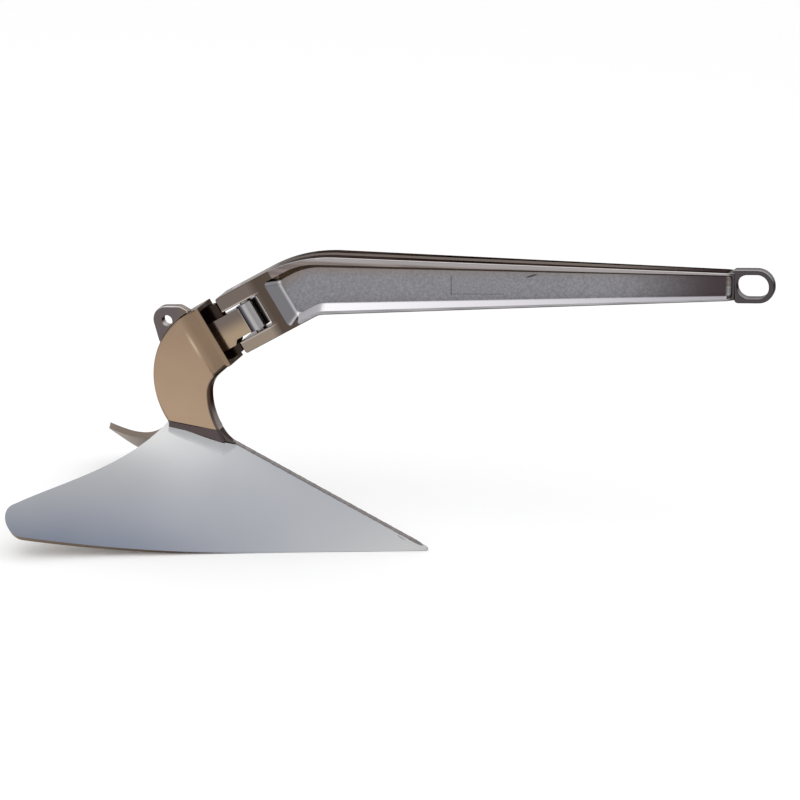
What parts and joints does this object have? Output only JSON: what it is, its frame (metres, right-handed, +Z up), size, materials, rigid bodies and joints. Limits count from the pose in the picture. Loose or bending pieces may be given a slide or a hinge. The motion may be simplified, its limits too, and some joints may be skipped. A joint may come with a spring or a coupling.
{
  "type": "plough anchor",
  "caption": "Hinged plough anchor in polished stainless steel: curved plough flukes, cast horn with tripping eye, and an I-section shank that swings on a pin.",
  "frame": {"origin": "middle of the anchor's length and width, on the surface it stands on", "axes": "+X forward, from the plough's wings to the shackle eye; +Y to the port wing; +Z up"},
  "size_m": [0.9632, 0.3974, 0.4237],
  "materials": {
    "polished_steel": "polished cast stainless steel",
    "satin_steel": "satin-polished stainless steel plate",
    "cast_ballast": "as cast"
  },
  "bodies": {
    "plough": {"horn": "polished_steel", "fluke_port": "satin_steel", "fluke_starboard": "satin_steel", "toe_weight": "cast_ballast"},
    "swinging_shank": {"shank": "polished_steel", "hinge_pin": "polished_steel"}
  },
  "joints": [
    {"name": "shank_swing", "type": "hinge", "parent": "plough", "child": "swinging_shank", "pos_m": [-0.20429, 0, 0.298], "axis": [-0.5299, 0, 0.848], "range_deg": [-70, 70]}
  ]
}
